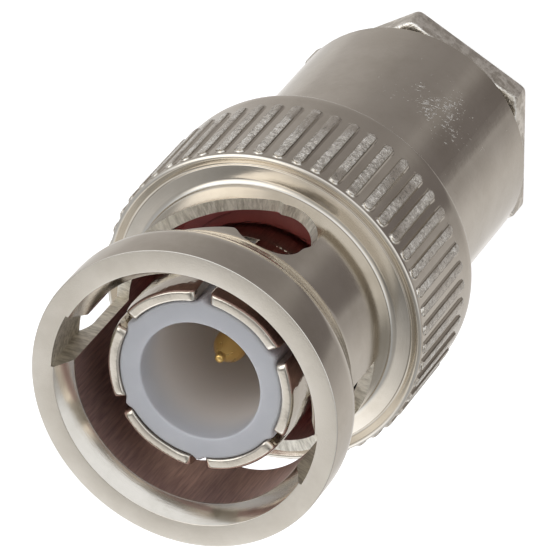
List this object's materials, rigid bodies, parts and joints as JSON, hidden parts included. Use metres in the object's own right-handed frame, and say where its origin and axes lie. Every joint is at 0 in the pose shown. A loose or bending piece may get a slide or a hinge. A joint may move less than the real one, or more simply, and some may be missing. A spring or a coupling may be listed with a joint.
{
  "type": "coaxial cable plug",
  "caption": "Straight bayonet coaxial plug with a sprung, knurled coupling nut, slotted outer contact, gold pin and a screwed hexagonal cable clamp.",
  "frame": {"origin": "centre of the rear face of the hexagon, on the surface that the plug stands on", "axes": "+Z along the plug's axis towards the mouth, +X four degrees past a corner of the hexagon"},
  "size_m": [0.0136, 0.0136, 0.0249],
  "materials": {
    "nickel_plate": "polished nickel plate",
    "nickel_satin": "satin nickel plate",
    "gold_plate": "gold plate",
    "insulator": "translucent white plastic",
    "red_silicone": "dark red silicone",
    "spring_steel": "bright spring steel",
    "black_rubber": "black rubber"
  },
  "bodies": {
    "plug": {"body": "nickel_plate", "outer_contact": "nickel_satin", "front_insulator": "insulator", "rear_insulator": "insulator", "center_pin": "gold_plate", "front_gasket": "red_silicone", "wave_washer": "spring_steel", "braid_clamp": "nickel_satin", "cable_gasket": "black_rubber"},
    "thrust": {"thrust_washer": "spring_steel"},
    "coupling": {"coupling_nut": "nickel_plate"},
    "clamp_carrier": {"clamp_washer": "nickel_satin"},
    "clamp": {"clamp_nut": "nickel_plate"}
  },
  "joints": [
    {"name": "coupling_slide", "type": "slide", "parent": "plug", "child": "thrust", "axis": [0, 0, 1], "range_m": [0, 0.001], "stiffness_N_per_m": 3000, "deforming": ["wave_washer"]},
    {"name": "coupling_turn", "type": "hinge", "parent": "thrust", "child": "coupling", "pos_m": [0, 0, 0.012], "axis": [0, 0, 1], "continuous": true},
    {"name": "clamp_slide", "type": "slide", "parent": "plug", "child": "clamp_carrier", "axis": [0, 0, -1], "range_m": [0, 0.0033]},
    {"name": "clamp_turn", "type": "hinge", "parent": "clamp_carrier", "child": "clamp", "pos_m": [0, 0, 0.0006], "axis": [0, 0, -1], "range_deg": [0, 1590]}
  ],
  "couplings": [
    {"joint": "clamp_turn", "follows": "clamp_slide", "rad_per_m": 8377.6}
  ]
}
